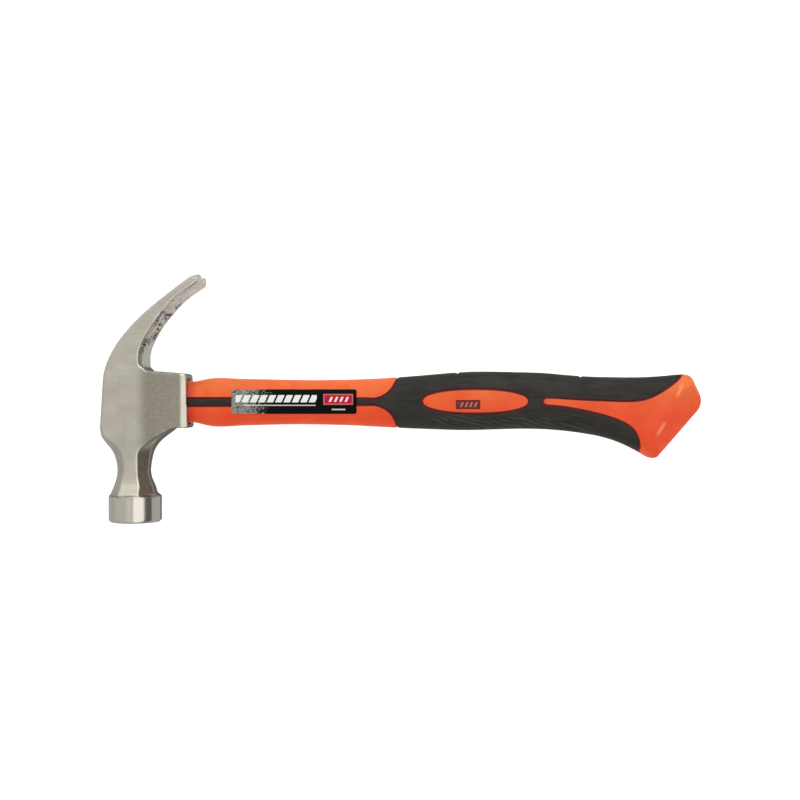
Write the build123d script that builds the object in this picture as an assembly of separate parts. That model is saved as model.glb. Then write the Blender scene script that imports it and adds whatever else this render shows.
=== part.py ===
"""Curved-claw carpenter's hammer: forged head bonded to a fibreglass core, which carries a
polypropylene jacket and a soft overmoulded grip.

Millimetres. The design datum is where the poll's axis crosses the handle's axis, in the middle of
the eye: +X runs along the handle to the butt, +Y to the claw, and +Z is the hammer's thickness, up
when it lies on its side. The pieces are drawn about the datum and then moved together, so that the
origin is the middle of the underside of the finished hammer's bounding box.
"""

import os
from math import cos, pi, radians, sin, tan

from build123d import *

# ---- driving dimensions -------------------------------------------------------------------------

# Head, side view
CROWN_TOP = (-15.3, 12.0)  # back of the head, where the claw begins to curve
CROWN_LOW = (-16.9, -15.0)
EYE_TOP_END = (30.2, 15.6)
EYE_LOW_END = (30.7, -14.4)
EYE_TOP_SLOPE = 0.075
EYE_LOW_TANGENTS = [(-1.0, -0.02), (-0.8, -0.6)]  # underside of the eye, where it leaves and meets the neck
CLAW_TIP = (37.5, 69.9)
CLAW_TIP_UNDER = (37.2, 65.2)
CLAW_TOP_CURVE = [(-13.4, 20.8), (-9.1, 29.7), (4.2, 45.9), (19.2, 58.5), (31.0, 67.3)]
CLAW_UNDER_CURVE = [(27.6, 58.0), (20.2, 50.4), (13.2, 41.4), (8.2, 31.4), (6.6, 24.0)]
CLAW_TIP_SLOPE = (0.97, 0.26)
CLAW_UNDER_SLOPE = (-0.84, -0.54)
CLAW_ROOT_X = 6.5
THROAT_RADIUS = 3.6
EYE_END_RADIUS = 1.5

# Head, thickness
CHEEK_HALF = 12.6  # ground cheeks, beside the poll
TAPER_START_X = 5.0  # the cheeks taper from here to the handle end
TAPER_MID = (13.0, 12.2)
TAPER_SLOPE = 0.09  # at the handle end
EYE_END_HALF = 10.9
END_BEVEL_LENGTH = 2.8
END_BEVEL_DEPTH = 1.0
CLAW_TIP_HALF = 14.2  # the claws splay to this at their tips
CLAW_SPLAY_START_Y = 34.0
CLAW_SPLAY_SLOPE = 0.06  # at the tips
TIP_CORNER = 2.6
TIP_MARGIN = 0.5  # the corner cut runs out this far above the tips
HEAD_EDGE = 1.3  # rounding of the crown and of the claws' backs
BACK_EDGE_MAX_X = -9.4  # the rounded edges start left of this, and rise more than the next
BACK_EDGE_RISE = 2.0

# Poll
NECK_START_Y = -15.0
NECK_START_RIGHT = 20.8
BELL_TOP_Y = -51.2
FACE_Y = -66.4
BELL_RADIUS = 14.5
FACE_CHAMFER = 1.1
BELL_TOP_CHAMFER = 0.8

# Neck stations: Y, left side, then the front facet's left edge, crease and right edge, right side,
# half thickness, half thickness at the facet's right edge, half width of the side facets
NECK = [
    (-13.0, -16.7, -15.6, 5.0, 21.0, 21.6, 12.45, 11.3, 11.1),
    (-15.0, -16.8, -15.6, 5.0, 19.8, 20.7, 12.5, 11.4, 11.1),
    (-19.0, -16.4, -14.2, 4.6, 13.1, 15.8, 12.1, 11.7, 9.6),
    (-23.0, -14.2, -9.8, 2.4, 7.4, 11.9, 11.2, 11.0, 7.3),
    (-27.5, -11.4, -6.4, -1.0, 3.4, 9.7, 10.0, 10.0, 5.0),
    (-32.5, -9.8, -5.0, -1.0, 2.8, 8.7, 9.0, 9.0, 3.9),
    (-37.5, -9.2, -4.8, -1.0, 2.9, 8.1, 8.8, 8.8, 3.7),
    (-42.5, -9.8, -5.2, -1.0, 3.4, 8.9, 9.3, 9.3, 3.9),
    (-47.5, -11.5, -6.0, -0.8, 4.4, 10.9, 10.9, 10.9, 4.5),
    (-52.6, -13.7, -6.8, -0.5, 5.6, 13.5, 13.3, 13.3, 5.4),
]

# Nail slot stations: a point on the claw's underside, the direction the underside faces in degrees,
# half width of the slot, half width of its bevel, depth of the bevel
SLOT = [
    ((7.6, 29.5), 0.0, 0.8, 1.4, 1.2),
    ((11.5, 38.6), -26.0, 1.3, 3.2, 3.0),
    ((19.8, 50.1), -40.0, 2.1, 4.9, 3.4),
    ((29.4, 59.6), -47.0, 3.0, 6.2, 3.0),
    ((42.0, 69.4), -53.0, 3.9, 7.4, 2.6),
]
# Underside bevel stations: a point on the claw's underside, the direction it faces, half thickness
# of the head there, width of the bevel across the underside, its depth down the side
UNDER_BEVEL = [
    ((6.5, 19.0), 0.0, 12.6, 0.8, 0.5),
    ((6.6, 22.0), 0.0, 12.6, 3.2, 2.4),
    ((7.6, 29.5), 0.0, 12.6, 3.6, 2.6),
    ((11.5, 38.6), -26.0, 12.7, 3.2, 1.9),
    ((19.8, 50.1), -40.0, 13.2, 2.8, 1.5),
    ((29.4, 59.6), -47.0, 13.8, 2.4, 1.2),
    ((42.0, 69.4), -53.0, 14.6, 2.0, 1.0),
]
SLOT_REACH = 24.0  # the cutter runs this far through the claw
SLOT_RISE = 3.0  # and this far out of it
SPLAY_RISE = 2.5  # no long edge of a cheek rises more than this

# Eye: a rounded rectangle, tightest at its waist so that the bond locks the core
EYE_CROWN = (23.0, 16.4)
EYE_WAIST = (21.2, 14.4)
EYE_MOUTH = (24.8, 17.4)
EYE_WAIST_X = 6.0
EYE_CORNER = 6.0
SPIGOT_START_X = 23.5
SPIGOT = (23.4, 16.0)
SPIGOT_CORNER = 5.5

# Core and bond
CORE = (18.0, 11.0)
CORE_CORNER = 5.2
CORE_CHAMFER = 0.8
CORE_START_X = -14.4
CORE_END_X = 262.0
BOND_START_X = -15.2
FIT_GAP = 0.04  # between bonded or moulded faces

# Handle stations: distance along X, top edge, bottom edge, half thickness, and the exponent of the
# superelliptic section, which grows squarer at the butt
STATIONS = [
    (29.0, 12.1, -12.1, 8.2, 2.6),
    (37.5, 12.3, -12.4, 8.5, 2.6),
    (45.8, 13.4, -13.7, 9.4, 2.6),
    (56.0, 13.0, -13.3, 9.5, 2.6),
    (70.0, 12.7, -12.8, 9.3, 2.6),
    (82.0, 12.4, -12.5, 9.1, 2.6),
    (94.0, 12.2, -12.4, 9.1, 2.6),
    (106.0, 12.2, -12.6, 9.2, 2.6),
    (118.0, 12.4, -12.9, 9.5, 2.6),
    (141.0, 13.4, -14.1, 10.7, 2.6),
    (164.0, 15.2, -15.1, 12.0, 2.6),
    (186.0, 16.8, -15.6, 12.9, 2.6),
    (207.0, 16.7, -15.0, 12.7, 2.6),
    (228.0, 16.0, -15.2, 12.3, 2.6),
    (248.0, 14.3, -17.3, 12.5, 2.6),
    (264.0, 13.8, -20.8, 13.0, 2.9),
    (276.0, 13.7, -25.9, 13.5, 3.3),
    (288.0, 14.1, -32.8, 13.9, 3.8),
    (300.0, 15.2, -39.8, 14.1, 4.2),
    (318.0, 17.1, -50.0, 14.2, 4.4),
]
SECTION_POINTS = 24  # points of a superellipse
START_OVERRUN = 1.0  # inner surfaces start this far before the jacket

# Butt, side view
BUTT_TOP = (305.9, 15.6)
BUTT_TIP = (313.5, -0.7)
BUTT_HEEL = (286.3, -31.9)
BUTT_TOP_RUN = (28.0, 1.6)  # the top runs back and down by this from its corner
BUTT_HEEL_RUN = (10.0, 5.4)  # the underside runs back and up by this from the heel
BUTT_TOP_RADIUS = 6.0
BUTT_TIP_RADIUS = 9.0
BUTT_HEEL_RADIUS = 4.0
RIDGE_POINT = (295.7, 0.0)  # the thickest line across the butt
RIDGE_TILT = 27.0
RIDGE_BEVEL = 12.0
RIDGE_FLARE_LENGTH = 160.0
BUTT_WALL_HALF = 9.4  # the end walls stand straight up to this half thickness
BUTT_LEAN = 34.0  # and lean in by this angle beyond it
BUTT_LEAN_HEIGHT = 9.0

# Grip
GRIP_DEPTH = 2.1
SEAM_GAP = 0.8  # open groove between the hard and soft plastics
SEAM_DEPTH = 0.5
TONGUE_TOP = 2.6
TONGUE_LOW = -2.3
TONGUE_START_TOP = 2.8  # the tongue widens toward the head
TONGUE_START_LOW = -2.9
TONGUE_START_X = 29.4
LOBE_START_X = 130.0
LOBE_TOP = [(132.0, 2.4), (137.2, 3.8), (142.2, 8.1), (145.2, 13.6), (146.0, 24.0)]
LOBE_LOW = [(132.0, -2.2), (138.9, -4.5), (142.9, -8.7), (145.0, -13.8), (145.6, -24.0)]
LOBE_LEAN = 0.1  # the lobes' ends lean to the butt by this at the edges
FANG_NOSE = (225.6, 0.6)
FANG_NOSE_TANGENTS = [(-1, 0.05), (1, -0.05)]
FANG_TOP_TANGENTS = [(1, -0.03), (0.5, 0.9)]
FANG_LOW_TANGENTS = [(1, -0.04), (0.15, -1)]
FANG_TOP = [(228.6, 1.8), (243.1, 0.9), (262.0, 0.1), (280.6, 0.9), (292.8, 6.9), (302.7, 15.8)]
FANG_LOW = [
    (228.6, -1.4),
    (243.1, -3.2),
    (256.0, -6.0),
    (266.7, -9.5),
    (275.0, -15.2),
    (278.4, -23.5),
    (279.4, -34.0),
]
WINDOW_CENTRE = (188.1, 0.4)
WINDOW_SIZE = (57.0, 12.1)
WINDOW_POWER = 2.2  # superellipse exponent of the window's outline
PLAQUE_CENTRE = (184.1, -1.4)
PLAQUE_SIZE = (13.2, 4.9)
PLAQUE_DEPTH = 0.45
PLAQUE_CORNER = 0.7

# Label
LABEL_CENTRE = (89.0, 0.2)
LABEL_SIZE = (68.4, 13.4)
LABEL_CORNER = 1.0
LABEL_LIFT = 0.03
LABEL_THICK = 0.2

REACH = 90.0  # half length of cutters that pass right through
CUT_MARGIN = 1.0  # cutters start and end this far outside what they cut


def through(sketch, plane=Plane.XY, reach=REACH):
    """Extrude a sketch drawn on a plane to both sides of it, in one piece."""
    return extrude(plane.offset(-reach) * sketch, 2 * reach)


# ---- head ---------------------------------------------------------------------------------------


def head_profile():
    """Side view of the claw, the crown and the eye, down to where the neck begins."""
    crown_run = (CROWN_TOP[0] - CROWN_LOW[0], CROWN_TOP[1] - CROWN_LOW[1])
    top = Spline([CROWN_TOP, *CLAW_TOP_CURVE, CLAW_TIP], tangents=[crown_run, CLAW_TIP_SLOPE])
    tip = Line(CLAW_TIP, CLAW_TIP_UNDER)
    throat_y = EYE_TOP_END[1] + EYE_TOP_SLOPE * (EYE_TOP_END[0] - CLAW_ROOT_X)
    under = Spline([CLAW_TIP_UNDER, *CLAW_UNDER_CURVE], tangents=[CLAW_UNDER_SLOPE, (0.0, -1.0)])
    throat_start = CLAW_UNDER_CURVE[-1]
    throat = Line(throat_start, (CLAW_ROOT_X, throat_y))
    eye_top = Line((CLAW_ROOT_X, throat_y), EYE_TOP_END)
    eye_end = Line(EYE_TOP_END, EYE_LOW_END)
    neck_right = (NECK_START_RIGHT, NECK_START_Y)
    eye_low = Spline([EYE_LOW_END, neck_right], tangents=EYE_LOW_TANGENTS)
    floor = Line(neck_right, CROWN_LOW)
    back = Line(CROWN_LOW, CROWN_TOP)
    face = make_face([top, tip, under, throat, eye_top, eye_end, eye_low, floor, back])
    throat_corner = face.vertices().sort_by_distance((CLAW_ROOT_X, throat_y, 0))[0]
    face = fillet(throat_corner, THROAT_RADIUS)
    for point in (EYE_TOP_END, EYE_LOW_END):
        corner = face.vertices().sort_by_distance((*point, 0))[0]
        face = fillet(corner, EYE_END_RADIUS)
    return face


def cheek_prism():
    """The head's thickness seen along Y: parallel cheeks that taper to the handle end."""
    end_x = EYE_LOW_END[0] + CUT_MARGIN
    bevel_x = EYE_TOP_END[0] - END_BEVEL_LENGTH
    end_half = EYE_END_HALF - END_BEVEL_DEPTH
    edges = []
    for side in (1, -1):
        corner = (TAPER_START_X, side * CHEEK_HALF)
        bevel_start = (bevel_x, side * EYE_END_HALF)
        edges.append(Line((-REACH, side * CHEEK_HALF), corner))
        middle = (TAPER_MID[0], side * TAPER_MID[1])
        edges.append(Spline([corner, middle, bevel_start], tangents=[(1, 0), (1, -TAPER_SLOPE * side)]))
        edges.append(Line(bevel_start, (end_x, side * end_half)))
    edges.append(Line((-REACH, CHEEK_HALF), (-REACH, -CHEEK_HALF)))
    edges.append(Line((end_x, end_half), (end_x, -end_half)))
    return through(make_face(edges), Plane.XZ)


def claw_prism():
    """The claws' thickness seen along X: they splay towards the tips, whose outer corners are cut."""
    top = CLAW_TIP[1] + TIP_MARGIN
    shoulder_y = CLAW_TIP[1] - TIP_CORNER
    edges = []
    for side in (1, -1):
        splay_start = (side * CHEEK_HALF, CLAW_SPLAY_START_Y)
        shoulder = (side * CLAW_TIP_HALF, shoulder_y)
        corner = (side * (CLAW_TIP_HALF - TIP_CORNER), top)
        edges.append(Line((side * CHEEK_HALF, -REACH), splay_start))
        edges.append(Spline([splay_start, shoulder], tangents=[(0, 1), (CLAW_SPLAY_SLOPE * side, 1)]))
        edges.append(Line(shoulder, corner))
    edges.append(Line((CHEEK_HALF, -REACH), (-CHEEK_HALF, -REACH)))
    edges.append(Line((CLAW_TIP_HALF - TIP_CORNER, top), (TIP_CORNER - CLAW_TIP_HALF, top)))
    along_x = Plane(origin=(0, 0, 0), x_dir=(0, 0, 1), z_dir=(-1, 0, 0))
    return through(make_face(edges), along_x)


def neck_section(y, left, front_left, crease, front_right, right, half, right_half, side_half):
    """One section of the neck: an octagon whose front facet is creased where the cheeks taper."""
    front = [
        (left, side_half),
        (front_left, half),
        (crease, half),
        (front_right, right_half),
        (right, side_half),
    ]
    back = [(x, -z) for x, z in reversed(front)]
    plane = Plane(origin=(0, y, 0), x_dir=(1, 0, 0), z_dir=(0, -1, 0))
    return plane * make_face(Polyline(*front, *back, close=True))


def poll():
    """Octagonal neck and round bell with a chamfered striking face."""
    neck = loft([neck_section(*station) for station in NECK])
    bell_plane = Plane(origin=(0, BELL_TOP_Y, 0), x_dir=(1, 0, 0), z_dir=(0, -1, 0))
    bell = extrude(bell_plane * Circle(BELL_RADIUS), BELL_TOP_Y - FACE_Y)
    face_edge = bell.edges().filter_by(GeomType.CIRCLE).sort_by(Axis.Y)[0]
    bell = chamfer(face_edge, FACE_CHAMFER)
    top_edge = bell.edges().filter_by(GeomType.CIRCLE).sort_by(Axis.Y)[-1]
    bell = chamfer(top_edge, BELL_TOP_CHAMFER)
    return neck + bell


def slot_section(point, facing, slot_half, bevel_half, bevel_depth):
    """One section of the nail slot: a straight slot whose mouth is bevelled on the underside."""
    direction = (cos(radians(facing)), sin(radians(facing)), 0)
    plane = Plane(origin=(*point, 0), x_dir=(0, 0, 1), z_dir=Vector(0, 0, 1).cross(Vector(direction)))
    mouth_half = bevel_half + SLOT_RISE * (bevel_half - slot_half) / bevel_depth
    side = plane.y_dir.dot(Vector(direction))
    points = [
        (slot_half, -SLOT_REACH * side),
        (slot_half, -bevel_depth * side),
        (mouth_half, SLOT_RISE * side),
    ]
    mirrored = [(-x, y) for x, y in reversed(points)]
    return plane * make_face(Polyline(*points, *mirrored, close=True))


def bevel_section(point, facing, half, width, depth):
    """One section of the wedge that bevels an outer edge of the claw's underside."""
    direction = (cos(radians(facing)), sin(radians(facing)), 0)
    plane = Plane(origin=(*point, 0), x_dir=(0, 0, 1), z_dir=Vector(0, 0, 1).cross(Vector(direction)))
    side = plane.y_dir.dot(Vector(direction))
    outer = half + width
    points = [(half - 2 * width, depth * side), (outer, -2 * depth * side), (outer, depth * side)]
    return plane * make_face(Polyline(*points, close=True))


def rounded_block():
    """Claws, crown and eye before the slot, with the long edges rounded."""
    block = through(head_profile()) & cheek_prism_with_claws()
    long_edges = [edge for edge in block.edges() if edge.bounding_box().size.Z < SPLAY_RISE]
    backs = [edge for edge in long_edges if is_back_edge(edge.bounding_box())]
    block = fillet(backs, HEAD_EDGE)
    bevel = loft([bevel_section(*station) for station in UNDER_BEVEL])
    return block - bevel - mirror(bevel, about=Plane.XY)


def is_back_edge(bounds):
    """True for the long edges between a cheek and the back of the head or claw."""
    on_cheek = abs(bounds.center().Z) > CHEEK_HALF / 2
    return bounds.min.X < BACK_EDGE_MAX_X and bounds.size.Y > BACK_EDGE_RISE and on_cheek


def eye_section(x, size, shrink=0.0):
    """One rounded-rectangle section of the eye, on the plane across the handle at x."""
    plane = Plane(origin=(x, 0, 0), x_dir=(0, 1, 0), z_dir=(1, 0, 0))
    shape = RectangleRounded(size[0] - 2 * shrink, size[1] - 2 * shrink, EYE_CORNER - shrink)
    return plane * shape


def eye(shrink=0.0):
    """The hole through the head, waisted in the middle."""
    start = CROWN_LOW[0] - CUT_MARGIN
    end = EYE_LOW_END[0] + CUT_MARGIN
    sections = [
        eye_section(start, EYE_CROWN, shrink),
        eye_section(EYE_WAIST_X, EYE_WAIST, shrink),
        eye_section(SPIGOT_START_X - CUT_MARGIN, EYE_MOUTH, shrink),
        eye_section(end, EYE_MOUTH, shrink),
    ]
    return loft(sections, ruled=True)


def head():
    """Forged head: claws, crown, eye, neck and bell in one piece."""
    body = rounded_block() + poll()
    slot = loft([slot_section(*station) for station in SLOT])
    return body - slot - eye()


def cheek_prism_with_claws():
    """Cheek thickness below the splay, claw thickness above it."""
    split_y = CLAW_UNDER_CURVE[-1][1]
    lower = Pos(0, split_y - REACH, 0) * Box(4 * REACH, 2 * REACH, 2 * REACH)
    upper = Pos(0, split_y + REACH, 0) * Box(4 * REACH, 2 * REACH, 2 * REACH)
    return (cheek_prism() & lower) + (claw_prism() & upper)


# ---- handle -------------------------------------------------------------------------------------


def superellipse(half_width, half_height, exponent):
    """A closed superellipse about the origin."""
    points = []
    for index in range(SECTION_POINTS):
        angle = 2 * pi * index / SECTION_POINTS
        across = cos(angle)
        up = sin(angle)
        reach = (abs(across) ** exponent + abs(up) ** exponent) ** (-1 / exponent)
        points.append((half_width * reach * across, half_height * reach * up))
    return make_face(Spline(points, periodic=True))


def handle_section(x, top, low, half, exponent, grow):
    """One superelliptic section of the handle, grown outwards by grow."""
    plane = Plane(origin=(x, (top + low) / 2, 0), x_dir=(0, 1, 0), z_dir=(1, 0, 0))
    return plane * superellipse((top - low) / 2 + grow, half + grow, exponent)


def handle_form(grow=0.0):
    """The handle's outside, as one smooth loft, running past the butt; grow offsets its surface."""
    first_x, *first = STATIONS[0]
    start_x = first_x - START_OVERRUN if grow < 0 else first_x
    stations = [(start_x, *first), *STATIONS[1:]]
    return loft([handle_section(*station, grow) for station in stations])


def butt_profile():
    """Side view that trims the loft to the flared butt."""
    far_left = STATIONS[0][0]
    under = (BUTT_HEEL[0] - BUTT_HEEL_RUN[0], BUTT_HEEL[1] + BUTT_HEEL_RUN[1])
    over = (BUTT_TOP[0] - BUTT_TOP_RUN[0], BUTT_TOP[1] - BUTT_TOP_RUN[1])
    outline = Polyline(
        (far_left, -REACH),
        (under[0], -REACH),
        under,
        BUTT_HEEL,
        BUTT_TIP,
        BUTT_TOP,
        over,
        (over[0], REACH),
        (far_left, REACH),
        close=True,
    )
    face = make_face(outline)
    roundings = ((BUTT_TOP, BUTT_TOP_RADIUS), (BUTT_TIP, BUTT_TIP_RADIUS), (BUTT_HEEL, BUTT_HEEL_RADIUS))
    for corner, radius in roundings:
        vertex = face.vertices().sort_by_distance((*corner, 0))[0]
        face = fillet(vertex, radius)
    return face


def butt_wedge():
    """Everything inside the two bevels that thin the butt beyond its ridge."""
    ridge_half = STATIONS[-3][3]
    end_half = ridge_half - REACH * tan(radians(RIDGE_BEVEL))
    upper = [(-4 * REACH, REACH), (-RIDGE_FLARE_LENGTH, REACH), (0, ridge_half), (REACH, end_half)]
    lower = [(x, -y) for x, y in reversed(upper)]
    outline = make_face(Polyline(*upper, *lower, close=True))
    across = Vector(cos(radians(RIDGE_TILT)), -sin(radians(RIDGE_TILT)), 0)
    plane = Plane(origin=(*RIDGE_POINT, 0), x_dir=across, z_dir=across.cross(Vector(0, 0, 1)))
    return through(outline, plane, 2 * REACH)


def butt_block():
    """Trimming block for the butt: its end walls lean in beyond the middle of the thickness."""
    profile = butt_profile()
    middle = through(profile, reach=BUTT_WALL_HALF)
    upper = extrude(Pos(0, 0, BUTT_WALL_HALF) * profile, BUTT_LEAN_HEIGHT, taper=BUTT_LEAN)
    return (middle + upper + mirror(upper, about=Plane.XY)) & butt_wedge()


def handle_body():
    """Solid outside of jacket and grip together, trimmed at the butt."""
    return handle_form() & butt_block()


def moved(points, along_x, along_y):
    """The same points, shifted."""
    return [(x + along_x, y + along_y) for x, y in points]


def soft_region(gap=0.0):
    """Side view of the soft grip, drawn in by gap: lobes, tongue, fang and butt, less the window."""
    slant = gap * sin(radians(45))
    tongue_top = TONGUE_TOP - gap
    tongue_low = TONGUE_LOW + gap
    lobe_top_points = [(LOBE_START_X, tongue_top), *moved(LOBE_TOP, slant, -slant)]
    lobe_low_points = [(LOBE_START_X, tongue_low), *moved(LOBE_LOW, slant, slant)]
    fang_top_points = moved(FANG_TOP, -slant, slant)
    fang_low_points = moved(FANG_LOW, -slant, -slant)
    nose = (FANG_NOSE[0] - gap, FANG_NOSE[1])
    ceiling = lobe_top_points[-1][1]
    tongue = Polyline(
        lobe_top_points[0],
        (TONGUE_START_X + gap, TONGUE_START_TOP - gap),
        (TONGUE_START_X + gap, TONGUE_START_LOW + gap),
        lobe_low_points[0],
    )
    edges = [
        Spline(lobe_top_points, tangents=[(1, 0), (LOBE_LEAN, 1)]),
        Spline(lobe_low_points, tangents=[(1, 0), (LOBE_LEAN, -1)]),
        tongue,
        Spline([fang_top_points[0], nose, fang_low_points[0]], tangents=FANG_NOSE_TANGENTS),
        Spline(fang_top_points, tangents=FANG_TOP_TANGENTS),
        Spline(fang_low_points, tangents=FANG_LOW_TANGENTS),
        Polyline(lobe_top_points[-1], (fang_top_points[-1][0], ceiling), fang_top_points[-1]),
        Polyline(
            lobe_low_points[-1],
            (lobe_low_points[-1][0], -REACH),
            (fang_low_points[-1][0], -REACH),
            fang_low_points[-1],
        ),
    ]
    window = superellipse(WINDOW_SIZE[0] / 2 + gap, WINDOW_SIZE[1] / 2 + gap, WINDOW_POWER)
    return make_face(edges) - Pos(*WINDOW_CENTRE) * window


def core():
    """Fibreglass rod, from the eye's crown into the butt."""
    plane = Plane(origin=(CORE_START_X, 0, 0), x_dir=(0, 1, 0), z_dir=(1, 0, 0))
    rod = extrude(plane * RectangleRounded(*CORE, CORE_CORNER), CORE_END_X - CORE_START_X)
    return chamfer(rod.edges().group_by(Axis.X)[0], CORE_CHAMFER)


def core_cavity():
    """The core's own space in the bond and the jacket."""
    plane = Plane(origin=(CORE_START_X - CUT_MARGIN, 0, 0), x_dir=(0, 1, 0), z_dir=(1, 0, 0))
    outline = RectangleRounded(CORE[0] + 2 * FIT_GAP, CORE[1] + 2 * FIT_GAP, CORE_CORNER + FIT_GAP)
    return extrude(plane * outline, CORE_END_X + FIT_GAP - CORE_START_X + CUT_MARGIN)


def bond():
    """Cured resin that fills the eye round the core, a little below the crown."""
    length = SPIGOT_START_X - FIT_GAP - BOND_START_X
    centre_x = BOND_START_X + length / 2
    slab = Pos(centre_x, 0, 0) * Box(length, REACH, REACH)
    return (eye(FIT_GAP) & slab) - core_cavity()


def spigot():
    """The jacket's nose, which seats in the mouth of the eye."""
    plane = Plane(origin=(SPIGOT_START_X, 0, 0), x_dir=(0, 1, 0), z_dir=(1, 0, 0))
    shape = RectangleRounded(*SPIGOT, SPIGOT_CORNER)
    return extrude(plane * shape, STATIONS[0][0] - SPIGOT_START_X)


def plaque_recess():
    """Shallow rectangular sink in the front of the oval window boss."""
    shape = Pos(*PLAQUE_CENTRE) * RectangleRounded(*PLAQUE_SIZE, PLAQUE_CORNER)
    below = handle_form(-PLAQUE_DEPTH)
    return extrude(shape, REACH) - below


def jacket_and_grip():
    """The hard jacket with its pocket, and the soft grip that fills the pocket."""
    body = handle_body()
    groove = (body - handle_form(-SEAM_DEPTH)) & through(soft_region())
    pocket = (body - handle_form(-GRIP_DEPTH)) & through(soft_region(SEAM_GAP - FIT_GAP))
    jacket = (body - groove - pocket) + spigot() - core_cavity() - plaque_recess()
    grip_area = through(soft_region(SEAM_GAP))
    grip = (body - handle_form(FIT_GAP - GRIP_DEPTH)) & grip_area
    return jacket, grip


def label():
    """Thin label that follows the front of the shaft."""
    area = extrude(Pos(*LABEL_CENTRE) * RectangleRounded(*LABEL_SIZE, LABEL_CORNER), REACH)
    outer = handle_form(LABEL_LIFT + LABEL_THICK)
    return (outer & area) - handle_form(LABEL_LIFT)


# ---- assembly -----------------------------------------------------------------------------------


def main():
    """Build every piece, move them to the part's frame and write one STEP for each."""
    jacket, grip = jacket_and_grip()
    pieces = {
        "head": head(),
        "fibreglass_core": core(),
        "epoxy_bond": bond(),
        "handle_jacket": jacket,
        "grip_overmould": grip,
        "label": label(),
    }
    bounds = Compound(list(pieces.values())).bounding_box()
    middle = bounds.center()
    shift = Pos(-middle.X, -middle.Y, -bounds.min.Z)
    os.makedirs("parts", exist_ok=True)
    for name, piece in pieces.items():
        export_step(shift * piece, f"parts/{name}.step")


main()
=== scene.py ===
"""Looks of the curved-claw hammer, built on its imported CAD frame. Metres, row frame."""

import math

import bpy
import numpy as np
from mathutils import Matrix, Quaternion, Vector, noise
from mathutils.bvhtree import BVHTree


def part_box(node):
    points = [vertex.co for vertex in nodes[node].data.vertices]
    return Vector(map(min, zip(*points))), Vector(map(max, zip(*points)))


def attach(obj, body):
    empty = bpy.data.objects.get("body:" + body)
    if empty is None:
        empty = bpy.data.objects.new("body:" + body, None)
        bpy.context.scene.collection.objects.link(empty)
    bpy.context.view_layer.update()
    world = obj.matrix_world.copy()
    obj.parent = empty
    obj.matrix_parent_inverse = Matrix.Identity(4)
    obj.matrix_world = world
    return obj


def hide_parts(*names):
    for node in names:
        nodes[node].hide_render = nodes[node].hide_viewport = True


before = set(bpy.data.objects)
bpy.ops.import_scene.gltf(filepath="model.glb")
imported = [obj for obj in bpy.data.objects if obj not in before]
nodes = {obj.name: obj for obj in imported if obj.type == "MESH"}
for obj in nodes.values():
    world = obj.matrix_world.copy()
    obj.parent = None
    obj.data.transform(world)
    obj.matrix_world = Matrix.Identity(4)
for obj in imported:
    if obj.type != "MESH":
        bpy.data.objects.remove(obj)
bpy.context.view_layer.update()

MM = 0.001

# The design datum is where the striking axis crosses the handle's axis, in the middle of the
# thickness. Places in this script are in millimetres from it: X towards the butt, Y towards the
# claw tips, Z through the thickness. A zone is the pair of values over which a share rises or falls.
CROWN_FROM_DATUM = 16.9
FACE_FROM_DATUM = 66.4
head_low, head_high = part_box("head")
DATUM = Vector(
    (
        head_low.x + CROWN_FROM_DATUM * MM,
        head_low.y + FACE_FROM_DATUM * MM,
        (head_low.z + head_high.z) / 2,
    )
)


def at(x, y, z):
    """A point given in millimetres from the datum, in metres in the row frame."""
    return DATUM + Vector((x, y, z)) * MM


def from_datum(point):
    """A point of the row frame, in millimetres from the datum."""
    return (point - DATUM) / MM


# ---- shader helpers ------------------------------------------------------------------------------

MIX_A, MIX_B, MIX_RESULT = 6, 7, 2  # the Mix node's sockets for colours


class Graph:
    """A node tree, with short ways to add and join nodes."""

    def __init__(self, tree):
        self.tree = tree
        self.nodes = tree.nodes

    def add(self, kind, **settings):
        node = self.nodes.new(kind)
        for name, value in settings.items():
            setattr(node, name, value)
        return node

    def link(self, source, target):
        self.tree.links.new(source, target)

    def feed(self, value, target):
        """A number or colour is set on the socket, an output is linked to it."""
        if isinstance(value, bpy.types.NodeSocket):
            self.link(value, target)
        else:
            target.default_value = value

    def split(self, vector):
        node = self.add("ShaderNodeSeparateXYZ")
        self.link(vector, node.inputs[0])
        return node.outputs

    def math(self, operation, a, b=0.0, c=None, clamp=False):
        node = self.add("ShaderNodeMath", operation=operation, use_clamp=clamp)
        self.feed(a, node.inputs[0])
        self.feed(b, node.inputs[1])
        if c is not None:
            self.feed(c, node.inputs[2])
        return node.outputs[0]

    def absolute(self, value):
        return self.math("ABSOLUTE", value)

    def product(self, first, *others):
        for other in others:
            first = self.math("MULTIPLY", first, other)
        return first

    def weighed(self, *terms):
        """The sum of values, each times its share."""
        first, *others = [self.math("MULTIPLY", value, share) for value, share in terms]
        for other in others:
            first = self.math("ADD", first, other)
        return first

    def ramp(self, value, low, high, to_low=0.0, to_high=1.0):
        node = self.add("ShaderNodeMapRange", interpolation_type="SMOOTHSTEP")
        self.feed(value, node.inputs["Value"])
        node.inputs["From Min"].default_value = low
        node.inputs["From Max"].default_value = high
        node.inputs["To Min"].default_value = to_low
        node.inputs["To Max"].default_value = to_high
        return node.outputs["Result"]

    def rise(self, value, zone):
        return self.ramp(value, *zone)

    def fall(self, value, zone):
        return self.ramp(value, *zone, 1.0, 0.0)


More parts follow.
